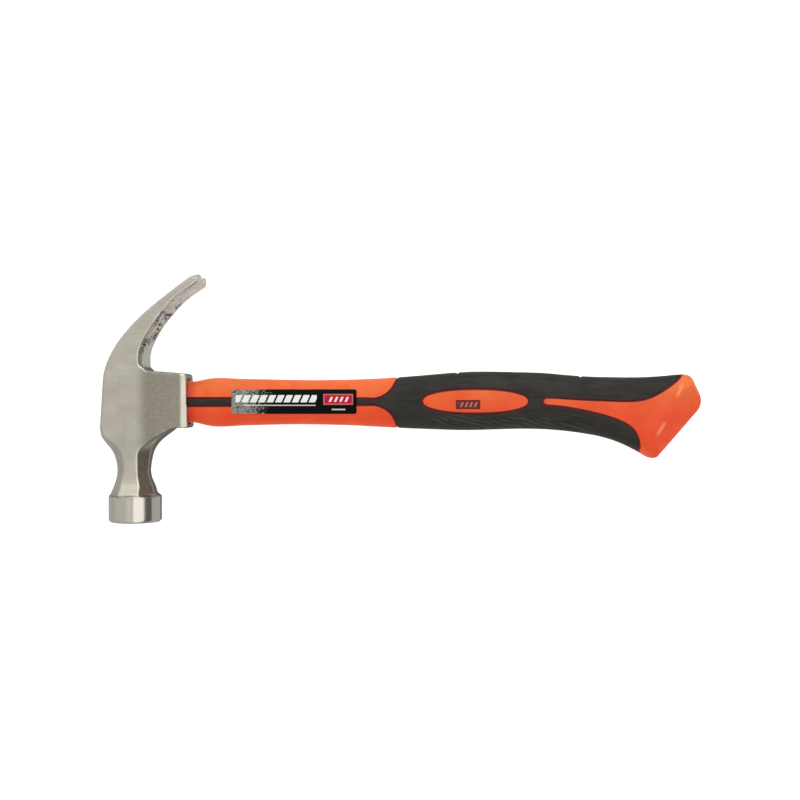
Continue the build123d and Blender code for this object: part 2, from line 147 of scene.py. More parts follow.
class Tree(Graph):
    """A material's node tree; place, x, y and z are in millimetres from the datum."""

    def __init__(self, name):
        self.material = bpy.data.materials.new(name)
        self.material.use_nodes = True
        super().__init__(self.material.node_tree)
        self.shader = self.nodes["Principled BSDF"]
        coords = self.add("ShaderNodeTexCoord")
        shift = self.add("ShaderNodeVectorMath", operation="SUBTRACT")
        shift.inputs[1].default_value = DATUM
        self.link(coords.outputs["Object"], shift.inputs[0])
        scale = self.add("ShaderNodeVectorMath", operation="SCALE")
        scale.inputs["Scale"].default_value = 1 / MM
        self.link(shift.outputs[0], scale.inputs[0])
        self.place = scale.outputs[0]
        self.x, self.y, self.z = self.split(self.place)

    def mix(self, factor, a, b):
        node = self.add("ShaderNodeMix", data_type="RGBA")
        self.feed(factor, node.inputs["Factor"])
        self.feed(a, node.inputs[MIX_A])
        self.feed(b, node.inputs[MIX_B])
        return node.outputs[MIX_RESULT]

    def stretched(self, sx, sy, sz):
        node = self.add("ShaderNodeVectorMath", operation="MULTIPLY")
        self.link(self.place, node.inputs[0])
        node.inputs[1].default_value = (sx, sy, sz)
        return node.outputs[0]

    def noise(self, vector, scale, detail=3.0, roughness=0.5, distortion=0.0):
        node = self.add("ShaderNodeTexNoise")
        self.link(vector, node.inputs["Vector"])
        node.inputs["Scale"].default_value = scale
        node.inputs["Detail"].default_value = detail
        node.inputs["Roughness"].default_value = roughness
        node.inputs["Distortion"].default_value = distortion
        return node.outputs["Fac"]

    def bump(self, height, strength, distance, normal=None):
        node = self.add("ShaderNodeBump")
        node.inputs["Strength"].default_value = strength
        node.inputs["Distance"].default_value = distance
        self.link(height, node.inputs["Height"])
        if normal is not None:
            self.link(normal, node.inputs["Normal"])
        return node.outputs["Normal"]

    def attribute(self, name):
        return self.add("ShaderNodeAttribute", attribute_name=name).outputs["Fac"]

    def set(self, **values):
        for name, value in values.items():
            self.feed(value, self.shader.inputs[name.replace("_", " ")])


def inside(t, value, low, high, soft):
    """1 where value lies between low and high, with soft edges."""
    rise = t.ramp(value, low - soft, low + soft)
    fall = t.ramp(value, high - soft, high + soft, 1.0, 0.0)
    return t.product(rise, fall)


def panel(t, x_range, y_range, soft):
    return t.product(inside(t, t.x, *x_range, soft), inside(t, t.y, *y_range, soft))


def slanted_bars(t, lean, pitch, share, soft):
    """Leaning bars along X; share is where in each pitch a bar starts and ends."""
    place = t.math("MULTIPLY_ADD", t.y, lean, t.x)
    return inside(t, t.math("FRACT", t.math("DIVIDE", place, pitch)), *share, soft)


def around(middle, half):
    """The range that reaches half to both sides of the middle."""
    return middle - half, middle + half


def within(limits, margin):
    return limits[0] + margin, limits[1] - margin


def shifted(limits, by):
    return by + limits[0], by + limits[1]


# ---- forged steel --------------------------------------------------------------------------------

STEEL_TONES = ((0.52, 0.485, 0.41, 1), (0.63, 0.60, 0.53, 1))
# painted shade on the tapered part of the cheek, mottled by its coarser grinding
TAPER_SHADE_TONE = (0.27, 0.25, 0.2, 1)
BELL_TONE = (0.66, 0.63, 0.56, 1)
UNDER_TONES = ((0.47, 0.48, 0.43, 1), (0.76, 0.79, 0.74, 1))
# painted shade on the side of the neck that faces the handle
FLANK_SHADE_TONE = (0.15, 0.132, 0.098, 1)
# painted shade in the head's recesses and creases
RECESS_SHADE_TONE = (0.07, 0.055, 0.04, 1)
SCALE_TONE = (0.022, 0.02, 0.016, 1)
# the tapered part of the cheek, and the bell
TAPER_START_X = (1.5, 10.0)
TAPER_END_X = (26.0, 28.0)
TAPER_FROM_MIDDLE = (9.0, 10.0)
TAPER_TOP_Y = (16.0, 20.0)
BELL_Y = (-52.6, -51.8)
# what each mark takes from the metal's shine, or adds to its roughness
RECESS_SHADE_SHARE = 0.9
SCALE_SHINE = 0.25
UNDER_SHINE_LOST = 0.6
FLANK_SHINE_LOST = 0.4
STEEL_ROUGHNESS = (0.22, 0.34)
SCALE_ROUGHER = 0.35
UNDER_ROUGHER = 0.2
TAPER_ROUGHER = 0.05
BELL_SMOOTHER = 0.14
STEEL_ANISOTROPY = 0.2


def steel():
    t = Tree("forged_steel")
    brushed = t.noise(t.stretched(0.05, 3.2, 1.0), scale=1.0, detail=4.0, roughness=0.6)
    fine = t.noise(t.stretched(0.12, 9.0, 2.0), scale=1.0, detail=2.0)
    cloud = t.noise(t.place, scale=0.09, detail=3.0, roughness=0.55)
    mottle = t.noise(t.stretched(0.5, 0.9, 0.9), scale=0.9, detail=4.0, roughness=0.6)
    speck = t.noise(t.place, scale=0.9, detail=4.0, roughness=0.65)
    streak = t.weighed((brushed, 0.6), (fine, 0.4))
    tone = t.weighed((streak, 0.5), (cloud, 0.5))
    metal = t.mix(t.ramp(tone, low=0.3, high=0.7), *STEEL_TONES)
    # the tapered part of the cheek is ground coarser, and its darker tone is painted shade for the
    # light its tilted side loses
    taper = t.product(t.rise(t.x, TAPER_START_X), t.fall(t.x, TAPER_END_X))
    taper = t.product(taper, t.rise(t.absolute(t.z), TAPER_FROM_MIDDLE), t.fall(t.y, TAPER_TOP_Y))
    taper_shade = t.product(taper, t.ramp(mottle, low=0.25, high=0.75, to_low=0.75))
    metal = t.mix(taper_shade, metal, TAPER_SHADE_TONE)
    # the bell is polished
    bell = t.fall(t.y, BELL_Y)
    metal = t.mix(bell, metal, BELL_TONE)
    # the claws' inner faces are dull
    under = t.attribute("under")
    metal = t.mix(under, metal, t.mix(t.ramp(mottle, low=0.3, high=0.65), *UNDER_TONES))
    # the side of the neck that faces the handle is duller, and painted dark as painted shade for the
    # dark reflection it shows
    shaded_flank = t.attribute("shaded_flank")
    flank_shade = t.product(shaded_flank, t.ramp(mottle, low=0.2, high=0.8, to_low=0.8))
    metal = t.mix(flank_shade, metal, FLANK_SHADE_TONE)
    # painted shade in the recesses and along creases, and patches of scale on top of all
    metal = t.mix(t.product(t.attribute("recess_shade"), RECESS_SHADE_SHARE), metal, RECESS_SHADE_TONE)
    patch = t.product(t.attribute("scale"), t.ramp(speck, low=0.42, high=0.54))
    shine = t.ramp(patch, low=0.0, high=1.0, to_low=1.0, to_high=SCALE_SHINE)
    shine = t.math("SUBTRACT", shine, t.product(under, UNDER_SHINE_LOST), clamp=True)
    shine = t.math("SUBTRACT", shine, t.product(shaded_flank, FLANK_SHINE_LOST), clamp=True)
    t.set(Base_Color=t.mix(patch, metal, SCALE_TONE), Metallic=shine)
    rough = t.ramp(streak, 0.3, 0.7, *STEEL_ROUGHNESS)
    for mark, rougher in ((patch, SCALE_ROUGHER), (under, UNDER_ROUGHER), (taper, TAPER_ROUGHER)):
        rough = t.math("ADD", rough, t.product(mark, rougher))
    t.set(Roughness=t.math("SUBTRACT", rough, t.product(bell, BELL_SMOOTHER)))
    brushing = t.bump(streak, strength=0.16, distance=0.0001)
    rough_grain = t.math("ADD", speck, t.product(mottle, 0.5))
    t.set(Normal=t.bump(rough_grain, strength=0.1, distance=0.0002, normal=brushing))
    t.shader.inputs["Anisotropic"].default_value = STEEL_ANISOTROPY
    return t.material


# ---- orange plastic ------------------------------------------------------------------------------

# painted light and shade: darker, redder oranges below and lighter ones above
SHADED_ORANGES = ((0.80, 0.055, 0.006, 1), (0.84, 0.082, 0.012, 1))
LIT_ORANGES = ((0.80, 0.115, 0.014, 1), (0.85, 0.16, 0.03, 1))
SCUFF_TONE = (0.92, 0.26, 0.09, 1)
# painted shade on the orange next to the head
NOSE_SHADE_TONE = (0.6, 0.022, 0.006, 1)
# painted highlight on the ridge of the butt
RIDGE_HIGHLIGHT_TONE = (0.95, 0.4, 0.17, 1)
# painted shade in the seams beside the grip
SEAM_SHADE_TONE = (0.14, 0.008, 0.005, 1)
ORANGE_LIGHT_Y = (-9.0, 12.0)  # from the shaded oranges to the lit ones: painted light, lighter towards the top
NOSE_SHADE_X = (31.0, 36.0)
NOSE_SHADE_SHARE = 0.7
ORANGE_ROUGHNESS = (0.3, 0.4)
ORANGE_SPECULAR = 0.36

RIDGE_HIGHLIGHTS = [((300.6, 9.3), (297.9, 3.3)), ((291.0, -11.2), (287.0, -18.0))]
HIGHLIGHT_WIDTH = 1.4
HIGHLIGHT_SHARE = 0.6
HIGHLIGHT_SOFT_END = 2.0
HIGHLIGHT_FROM_MIDDLE = (4.0, 6.0)

PLAQUE_MIDDLE = (184.1, -1.4)
PLAQUE_HALF = (6.6, 2.45)
PLAQUE_MARGIN = (1.4, 1.1)  # from the plaque's edge to its bars
PLAQUE_FRONT_Z = (5.0, 6.0)
PLAQUE_TONE = (0.11, 0.008, 0.008, 1)
PLAQUE_BAR_TONE = (0.6, 0.13, 0.08, 1)
PLAQUE_LEAN = -0.4
PLAQUE_PITCH = 2.5
PLAQUE_BAR = (0.3, 0.75)


def highlight_stroke(t, start, end):
    """A soft painted highlight stroke between two places on the side of the handle."""
    run = Vector(end) - Vector(start)
    along = run.normalized()
    from_x = t.math("SUBTRACT", t.x, start[0])
    from_y = t.math("SUBTRACT", t.y, start[1])
    down = t.math("ADD", t.product(from_x, along.x), t.product(from_y, along.y))
    across = t.math("SUBTRACT", t.product(from_x, along.y), t.product(from_y, along.x))
    near = t.ramp(t.absolute(across), low=0.0, high=HIGHLIGHT_WIDTH, to_low=HIGHLIGHT_SHARE, to_high=0.0)
    span = inside(t, down, 0.0, run.length, HIGHLIGHT_SOFT_END)
    return t.product(near, span, t.rise(t.absolute(t.z), HIGHLIGHT_FROM_MIDDLE))


def plaque(t, base):
    """The sunk panel on the oval: dark, with plain slanted bars."""
    x_range, y_range = (around(*place) for place in zip(PLAQUE_MIDDLE, PLAQUE_HALF))
    front = t.rise(t.z, PLAQUE_FRONT_Z)
    field = t.product(panel(t, x_range, y_range, soft=0.15), front)
    bars = slanted_bars(t, PLAQUE_LEAN, PLAQUE_PITCH, PLAQUE_BAR, soft=0.1)
    x_inner, y_inner = within(x_range, PLAQUE_MARGIN[0]), within(y_range, PLAQUE_MARGIN[1])
    middle = panel(t, x_inner, y_inner, soft=0.2)
    colour = t.mix(field, base, PLAQUE_TONE)
    return t.mix(t.product(bars, middle, front), colour, PLAQUE_BAR_TONE)


def orange():
    t = Tree("orange_plastic")
    cloud = t.noise(t.place, scale=0.07, detail=4.0, roughness=0.6)
    grain = t.noise(t.stretched(0.4, 2.0, 2.0), scale=1.4, detail=3.0)
    scuff = t.noise(t.stretched(0.08, 1.3, 1.3), scale=1.0, detail=5.0, roughness=0.7, distortion=0.6)
    # painted light: the upper half of the handle is lighter, the lower half darker and redder
    low = t.mix(t.ramp(cloud, low=0.3, high=0.7), *SHADED_ORANGES)
    high = t.mix(t.ramp(cloud, low=0.3, high=0.7), *LIT_ORANGES)
    base = t.mix(t.rise(t.y, ORANGE_LIGHT_Y), low, high)
    base = t.mix(t.ramp(scuff, low=0.56, high=0.75, to_high=0.35), base, SCUFF_TONE)
    # the nose, close to the head, is painted darker: painted shade where the head shadows it
    base = t.mix(t.ramp(t.x, *NOSE_SHADE_X, to_low=NOSE_SHADE_SHARE, to_high=0.0), base, NOSE_SHADE_TONE)
    # the ridge of the butt gets two painted highlight strokes
    for start, end in RIDGE_HIGHLIGHTS:
        base = t.mix(highlight_stroke(t, start, end), base, RIDGE_HIGHLIGHT_TONE)
    # painted shade: the faces in the seams beside the grip are dark maroon
    base = t.mix(t.attribute("seam_shade"), base, SEAM_SHADE_TONE)
    t.set(Base_Color=plaque(t, base), Roughness=t.ramp(grain, 0.3, 0.7, *ORANGE_ROUGHNESS))
    moulding = t.bump(grain, strength=0.1, distance=0.0002)
    t.set(Normal=t.bump(scuff, strength=0.08, distance=0.0003, normal=moulding))
    t.shader.inputs["Specular IOR Level"].default_value = ORANGE_SPECULAR
    return t.material


# ---- soft grip, resin and glass fibre ------------------------------------------------------------

GRIP_BLACKS = ((0.009, 0.008, 0.0055, 1), (0.027, 0.025, 0.018, 1))
# painted shade in the grip's diagonal grooves
GROOVE_SHADE_TONE = (0.003, 0.003, 0.002, 1)
# painted highlight on the crests between the grooves
CREST_HIGHLIGHT_TONE = (0.052, 0.047, 0.033, 1)
CREST_HIGHLIGHT_SHARE = 0.7
# painted shade along the grip's edge, in the seam
GRIP_SEAM_SHADE_TONE = (0.07, 0.005, 0.003, 1)
GRIP_ROUGHNESS = (0.46, 0.6)
GRIP_SPECULAR = 0.3
RESIN_TONES = ((0.02, 0.016, 0.01, 1), (0.05, 0.04, 0.025, 1))
RESIN_ROUGHNESS = (0.2, 0.42)
FIBRE_TONES = ((0.42, 0.36, 0.2, 1), (0.72, 0.66, 0.45, 1))
FIBRE_ROUGHNESS = 0.45


def soft_black():
    t = Tree("soft_grip")
    streak = t.noise(t.stretched(0.05, 1.9, 1.0), scale=1.0, detail=4.0, roughness=0.6)
    grain = t.noise(t.place, scale=3.2, detail=3.0, roughness=0.6)
    cloud = t.noise(t.stretched(0.5, 1.0, 1.0), scale=0.12, detail=3.0, roughness=0.6)
    tone = t.weighed((streak, 0.55), (cloud, 0.45))
    base = t.mix(t.ramp(tone, low=0.35, high=0.65), *GRIP_BLACKS)
    # painted shade in the diagonal grooves
    base = t.mix(t.attribute("groove"), base, GROOVE_SHADE_TONE)
    # painted highlight on the crests between the grooves
    base = t.mix(t.product(t.attribute("crest_highlight"), CREST_HIGHLIGHT_SHARE), base, CREST_HIGHLIGHT_TONE)
    # painted shade along the seam with the hard plastic
    base = t.mix(t.attribute("seam_shade_edge"), base, GRIP_SEAM_SHADE_TONE)
    t.set(Base_Color=base, Roughness=t.ramp(grain, 0.3, 0.7, *GRIP_ROUGHNESS))
    moulding = t.bump(grain, strength=0.25, distance=0.00012)
    t.set(Normal=t.bump(streak, strength=0.22, distance=0.0004, normal=moulding))
    t.shader.inputs["Specular IOR Level"].default_value = GRIP_SPECULAR
    return t.material


def resin():
    t = Tree("epoxy")
    cloud = t.noise(t.place, scale=0.5, detail=3.0)
    roughness = t.ramp(cloud, 0.2, 0.8, *RESIN_ROUGHNESS)
    t.set(Base_Color=t.mix(cloud, *RESIN_TONES), Roughness=roughness)
    t.set(Normal=t.bump(cloud, strength=0.4, distance=0.0006))
    return t.material


def fibreglass():
    t = Tree("fibreglass")
    strands = t.noise(t.stretched(0.15, 6.0, 6.0), scale=1.0, detail=3.0, roughness=0.6)
    t.set(Base_Color=t.mix(t.ramp(strands, low=0.35, high=0.65), *FIBRE_TONES))
    t.set(Roughness=FIBRE_ROUGHNESS, Normal=t.bump(strands, strength=0.3, distance=0.0002))
    return t.material


# ---- label artwork: plain shapes, drawn in the plane of the label --------------------------------

label_low, label_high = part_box("label")
LABEL_MIDDLE = from_datum((label_low + label_high) / 2)
LABEL_HALF = (label_high - label_low) / MM / 2

FILM_BLACK = (0.0, 0.0, 0.0, 1)
WORN_TONES = ((0.12, 0.12, 0.11, 1), (0.5, 0.5, 0.46, 1))
BLOCK_TONE = (0.85, 0.85, 0.83, 1)
LINE_TONE = (0.6, 0.6, 0.57, 1)
RED_RIM_TONE = (0.62, 0.16, 0.17, 1)
RED_TONE = (0.46, 0.012, 0.03, 1)
RED_BAR_TONE = (0.85, 0.8, 0.8, 1)
DASH_TONE = (0.55, 0.55, 0.53, 1)
FILM_ROUGHNESS = 0.28
FILM_SPECULAR = 0.1
# X from the label's left end, Y from its middle
WEAR_FADES_X = (6, 36)
WEAR_LEAST = 0.46
WEAR_FADE = 0.3
BLOCKS = ((2.2, 46.6), (-0.4, 3.6))
FINE_LINE = ((6.0, 46.0), (-2.3, -1.7))
# X from the label's right end, Y from its middle
RED_RIM = ((-18.2, -1.9), (-1.7, 4.2))
RED_FIELD = ((-17.6, -2.5), (-1.1, 3.6))
RED_BARS = ((-15.6, -4.4), (-0.1, 2.6))
DASH = ((-13.6, -6.2), (-4.7, -3.9))
LABEL_LEAN = -0.45
BLOCK_PITCH = 4.6
BLOCK = (0.1, 0.86)
RED_BAR_PITCH = 2.9
RED_BAR = (0.2, 0.62)


def label_panel(t, end, area, soft):
    """A panel whose area is given from an end of the label and from its middle."""
    x_range, y_range = area
    return panel(t, shifted(x_range, end), shifted(y_range, LABEL_MIDDLE.y), soft)


def label_film():
    t = Tree("label_film")
    left = LABEL_MIDDLE.x - LABEL_HALF.x
    right = LABEL_MIDDLE.x + LABEL_HALF.x
    # a worn pattern that fades from the left
    scratch = t.noise(t.stretched(0.5, 1.0, 1.0), scale=1.1, detail=5.0, roughness=0.75, distortion=1.4)
    fade = t.rise(t.x, shifted(WEAR_FADES_X, left))
    level = t.math("ADD", WEAR_LEAST, t.product(fade, WEAR_FADE))
    worn = t.math("GREATER_THAN", scratch, level)
    grain = t.noise(t.place, scale=1.6, detail=3.0, roughness=0.7)
    colour = t.mix(worn, FILM_BLACK, t.mix(grain, *WORN_TONES))
    # a band of slanted white blocks, with a fine line under it
    blocks = slanted_bars(t, LABEL_LEAN, BLOCK_PITCH, BLOCK, soft=0.02)
    band = label_panel(t, left, BLOCKS, soft=0.12)
    colour = t.mix(t.product(blocks, band), colour, BLOCK_TONE)
    colour = t.mix(label_panel(t, left, FINE_LINE, soft=0.1), colour, LINE_TONE)
    # the red panel, with plain bars in it and a dash under it
    colour = t.mix(label_panel(t, right, RED_RIM, soft=0.25), colour, RED_RIM_TONE)
    colour = t.mix(label_panel(t, right, RED_FIELD, soft=0.2), colour, RED_TONE)
    bars = slanted_bars(t, LABEL_LEAN, RED_BAR_PITCH, RED_BAR, soft=0.04)
    bars = t.product(bars, label_panel(t, right, RED_BARS, soft=0.12))
    colour = t.mix(bars, colour, RED_BAR_TONE)
    colour = t.mix(label_panel(t, right, DASH, soft=0.15), colour, DASH_TONE)
    t.set(Base_Color=colour, Roughness=FILM_ROUGHNESS)
    t.set(Normal=t.bump(grain, strength=0.05, distance=0.0001))
    t.shader.inputs["Specular IOR Level"].default_value = FILM_SPECULAR
    return t.material


# ---- mesh helpers --------------------------------------------------------------------------------

REMESH_EASING = 0.5
REMESH_ROUNDS = 2
SOFTEN_FACTOR = 0.6
SOFTEN_LEVELS = 4
FRACTAL_DECAY = 0.9
FRACTAL_STEP = 2.0


def apply_modifiers(piece):
    """Give a piece the mesh that its modifiers make."""
    bpy.context.view_layer.update()
    graph = bpy.context.evaluated_depsgraph_get()
    mesh = bpy.data.meshes.new_from_object(piece.evaluated_get(graph))
    piece.modifiers.clear()
    piece.data = mesh


def smoothing(piece, name, factor, rounds):
    relax = piece.modifiers.new(name, "SMOOTH")
    relax.factor = factor
    relax.iterations = rounds
    return relax


def copy_of(node, name):
    piece = bpy.data.objects.new(name, nodes[node].data.copy())
    bpy.context.scene.collection.objects.link(piece)
    return piece


def dense_copy(node, name, voxel):
    """A finely remeshed copy of a CAD node, its edges slightly eased."""
    piece = copy_of(node, name)
    remesh = piece.modifiers.new("remesh", "REMESH")
    remesh.mode = "VOXEL"
    remesh.voxel_size = voxel * MM
    smoothing(piece, "relax", REMESH_EASING, REMESH_ROUNDS)
    apply_modifiers(piece)
    for polygon in piece.data.polygons:
        polygon.use_smooth = True
    return piece


def soften(piece, weights, rounds):
    """Smooth a piece more where the weights are high, so that edges there are rounder."""
    group = piece.vertex_groups.new(name="soft")
    half_step = 0.5 / SOFTEN_LEVELS
    for level in np.arange(1, SOFTEN_LEVELS + 1) / SOFTEN_LEVELS:
        chosen = np.nonzero((weights > level - half_step) & (weights <= level + half_step))[0]
        group.add(chosen.tolist(), level, "REPLACE")
    smoothing(piece, "soften", SOFTEN_FACTOR, rounds).vertex_group = "soft"
    apply_modifiers(piece)
    piece.vertex_groups.clear()


def dress(piece, material):
    piece.data.materials.clear()
    piece.data.materials.append(material)


def surface(mesh):
    """Vertex places, in millimetres from the datum, and vertex normals."""
    count = len(mesh.vertices)
    places = np.empty(count * 3)
    normals = np.empty(count * 3)
    mesh.vertices.foreach_get("co", places)
    mesh.vertices.foreach_get("normal", normals)
    places = (places.reshape(-1, 3) - np.array(DATUM)) / MM
    return places, normals.reshape(-1, 3)


def displace(mesh, places, normals, depths):
    """Move every vertex along its normal by its depth, in millimetres."""
    moved = (places + normals * depths[:, None]) * MM + np.array(DATUM)
    mesh.vertices.foreach_set("co", moved.ravel())
    mesh.update()


def point_value(mesh, name, values):
    attribute = mesh.attributes.new(name, "FLOAT", "POINT")
    attribute.data.foreach_set("value", np.clip(values, 0.0, 1.0))


def fbm(places, scale, octaves=3):
    """Fractal noise at every place."""
    return np.array(
        [noise.fractal(Vector(p) * scale, FRACTAL_DECAY, FRACTAL_STEP, octaves) for p in places]
    )


def smoothstep(low, high, value):
    share = np.clip((value - low) / (high - low), 0.0, 1.0)
    return share * share * (3 - 2 * share)


def rising(zone, value):
    return smoothstep(zone[0], zone[1], value)


def falling(zone, value):
    return smoothstep(zone[1], zone[0], value)


def peak(value, middle, width):
    """1 where value is at the middle, falling off over the width."""
    return np.exp(-(((value - middle) / width) ** 2))


# ---- head ----------------------------------------------------------------------------------------

HEAD_VOXEL = 0.52
HEAD_SOFTEN_ROUNDS = 9
# where the claw root and the neck are eased
ROOT_FOOT_Y = (9.0, 14.0)
ROOT_TOP_Y = (26.0, 34.0)
ROOT_X = (-2.0, 3.0)
NECK_TOP_Y = (-26.0, -20.0)
NECK_FOOT_Y = (-52.2, -49.5)
NECK_EASING = 0.5
# the claws' inner faces, and the scale on them
INNER_WAY = (0.8, -0.6)
DULL_FACING = (0.35, 0.7)
DULL_FOOT_Y = (12.0, 17.0)
SCALE_FOOT_Y = (24.0, 30.0)
SCALE_TOP_Y = (58.0, 66.0)
SCALE_FACING = (0.3, 0.6)
THICK_FOOT_Y = (30.0, 34.0)
THICK_TOP_Y = (44.0, 54.0)
# scale shows where noise is above these levels, and above lower ones where the scale is thick
SCALE_STARTS = 0.25
SCALE_IS_FULL = 0.5
THICK_STARTS_LOWER = 0.45
THICK_IS_FULL_LOWER = 0.3
# the side of the neck that faces the handle, painted dark as painted shade
FLANK_TOP_Y = (-24.0, -19.0)
FLANK_FOOT_Y = (-52.2, -51.0)
FLANK_FACING = (0.35, 0.6)
FLANK_OFF_LEVEL = (0.15, 0.5)
# the groove beside the claw root
GROOVE_FROM_MIDDLE = 10.7
GROOVE_WIDTH = 0.7
GROOVE_DEPTH = 0.35
GROOVE_FOOT_Y = (13.0, 16.5)
GROOVE_TOP_Y = (28.0, 33.0)
GROOVE_START_X = (3.0, 5.0)
GROOVE_END_X = (16.0, 22.0)
GROOVE_OFF_TOP = (0.2, 0.5)
GROOVE_SHADE_TOP_Y = (17.0, 24.0)
# painted shade along the bell's top and along the claws' inner edges
BELL_TOP_Y = -51.6
BELL_TOP_WIDTH = 0.5
BELL_TOP_RADIUS = (11.0, 12.5)
BELL_TOP_SHADE = 0.6
CREASE_TILT = 0.65
CREASE_WIDTH = 0.16
CREASE_FACING = (0.2, 0.4)
CREASE_FOOT_Y = (14.0, 20.0)
CREASE_FROM_MIDDLE = (6.0, 9.0)
CREASE_SHADE = 0.75
# how uneven the surface is
HAMMERED_HEIGHT = 0.02
SCALE_HEIGHT = 0.14
SCALE_LEVEL = 0.3
DULL_HEIGHT = 0.02


def eased_places(places):
    """How much the head's edges are eased: at the claw root, and half as much along the neck."""
    x, y, _ = places.T
    root = rising(ROOT_FOOT_Y, y) * falling(ROOT_TOP_Y, y) * rising(ROOT_X, x)
    neck = falling(NECK_TOP_Y, y) * rising(NECK_FOOT_Y, y)
    return np.maximum(root, NECK_EASING * neck)


def scale_patches(places, facing):
    """Black scale on the claws' inner faces, closest together near their middle."""
    y = places[:, 1]
    above = rising(SCALE_FOOT_Y, y) * falling(SCALE_TOP_Y, y)
    thick = rising(THICK_FOOT_Y, y) * falling(THICK_TOP_Y, y)
    starts = SCALE_STARTS - THICK_STARTS_LOWER * thick
    is_full = SCALE_IS_FULL - THICK_IS_FULL_LOWER * thick
    return above * rising(SCALE_FACING, facing) * smoothstep(starts, is_full, fbm(places, scale=0.16))


# where the neck is painted dark as painted shade: its side that faces the handle
def shaded_neck_flank(places, normals):
    y = places[:, 1]
    shaded_flank = falling(FLANK_TOP_Y, y) * rising(FLANK_FOOT_Y, y) * rising(FLANK_FACING, normals[:, 0])
    return shaded_flank * rising(FLANK_OFF_LEVEL, np.abs(normals[:, 2]))


def root_groove(places, normals):
    x, y, z = places.T
    beside = rising(GROOVE_FOOT_Y, y) * falling(GROOVE_TOP_Y, y) * rising(GROOVE_START_X, x)
    off_top = rising(GROOVE_OFF_TOP, np.hypot(normals[:, 0], normals[:, 1]))
    beside = beside * off_top * falling(GROOVE_END_X, x)
    return peak(np.abs(z), GROOVE_FROM_MIDDLE, GROOVE_WIDTH) * beside


# painted shade: dark lines at the bell's top edge, along the claws' inner creases and in the root
# groove
def painted_recess_shade(places, normals, facing, groove):
    x, y, z = places.T
    bell_top = peak(y, BELL_TOP_Y, BELL_TOP_WIDTH) * rising(BELL_TOP_RADIUS, np.hypot(x, z))
    crease = peak(np.abs(normals[:, 2]), CREASE_TILT, CREASE_WIDTH) * rising(CREASE_FACING, facing)
    crease = CREASE_SHADE * crease * rising(CREASE_FOOT_Y, y) * rising(CREASE_FROM_MIDDLE, np.abs(z))
    crease = np.maximum(crease, groove * falling(GROOVE_SHADE_TOP_Y, y))
    return np.maximum(BELL_TOP_SHADE * bell_top, crease)


def build_head(material):
    """The forging, with marks for its material and for painted shade, and a slightly uneven surface."""
    piece = dense_copy("head", "head_forging", HEAD_VOXEL)
    places, normals = surface(piece.data)
    soften(piece, eased_places(places), HEAD_SOFTEN_ROUNDS)
    mesh = piece.data
    places, normals = surface(mesh)
    facing = normals[:, 0] * INNER_WAY[0] + normals[:, 1] * INNER_WAY[1]
    under = rising(DULL_FACING, facing) * rising(DULL_FOOT_Y, places[:, 1])
    scale = scale_patches(places, facing)
    groove = root_groove(places, normals)
    point_value(mesh, "scale", scale)
    point_value(mesh, "under", under)
    point_value(mesh, "shaded_flank", shaded_neck_flank(places, normals))
    point_value(mesh, "recess_shade", painted_recess_shade(places, normals, facing, groove))
    hammered = HAMMERED_HEIGHT * fbm(places, scale=0.12, octaves=2)
    scaly = scale * SCALE_HEIGHT * (fbm(places, scale=0.7) - SCALE_LEVEL)
    dull = DULL_HEIGHT * under * fbm(places, scale=0.5, octaves=2)
    depths = hammered + scaly + dull - GROOVE_DEPTH * groove
    displace(mesh, places, normals, depths)
    dress(piece, material)
    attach(piece, "root")
    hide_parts("head")


# ---- hard jacket ---------------------------------------------------------------------------------

SEAM_REACH = 1.3  # how near the far wall of a seam has to be
SEAM_START = 0.02  # the probe starts this far off the face
SEAM_TILT = math.radians(25)
SEAM_TURNS = 8


def handle_tree():
    """The hard and the soft plastic as one tree for ray casts."""
    corners = []
    faces = []
    for name in ("handle_jacket", "grip_overmould"):
        mesh = nodes[name].data
        first = len(corners)
        corners += [vertex.co.copy() for vertex in mesh.vertices]
        faces += [[first + index for index in face.vertices] for face in mesh.polygons]
    return BVHTree.FromPolygons(corners, faces)


def in_seam(tree, face):
    """True for a face in the groove beside the grip, or under it: something rises close by."""
    normal = face.normal
    across = normal.orthogonal().normalized()
    start = face.center + normal * SEAM_START * MM
    directions = [normal]
    for turn in range(SEAM_TURNS):
        level = Quaternion(normal, 2 * math.pi * turn / SEAM_TURNS) @ across
        directions.append(level * math.cos(SEAM_TILT) + normal * math.sin(SEAM_TILT))
    return any(tree.ray_cast(start, way, SEAM_REACH * MM)[0] is not None for way in directions)


def build_jacket(material):
    """The hard jacket with its seams marked for painted shade; returns its open skin, for measuring to
    it.
    """
    piece = copy_of("handle_jacket", "jacket_shell")
    mesh = piece.data
    tree = handle_tree()
    seam_shade = [float(in_seam(tree, face)) for face in mesh.polygons]
    attribute = mesh.attributes.new("seam_shade", "FLOAT", "FACE")
    attribute.data.foreach_set("value", seam_shade)
    dress(piece, material)
    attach(piece, "root")
    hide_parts("handle_jacket")
    corners = [vertex.co.copy() for vertex in mesh.vertices]
    skin = [tuple(face.vertices) for face, hidden in zip(mesh.polygons, seam_shade) if not hidden]
    return BVHTree.FromPolygons(corners, skin)


# ---- soft grip -----------------------------------------------------------------------------------

GRIP_VOXEL = 0.62
SEAM_SHADE_REACH = (1.15, 1.75)  # the grip is painted dark red this close to the hard plastic: painted shade in the seam
ON_SIDE = (0.25, 0.6)
# diagonal grooves moulded in the lower half
LOWER_TOP_Y = (-8.0, -6.0)
LOWER_START_X = (158.0, 170.0)
LOWER_END_X = (236.0, 262.0)
DIAGONAL_PITCH = 2.3
DIAGONAL_LEAN = 0.3
DIAGONAL_WANDER = 1.7
DIAGONAL_DEPTH = 0.34
CREST_SHARPNESS = 6
WORN_STRETCH = (0.09, 0.3, 0.3)
WORN_PATCHES = (-0.3, 0.4)
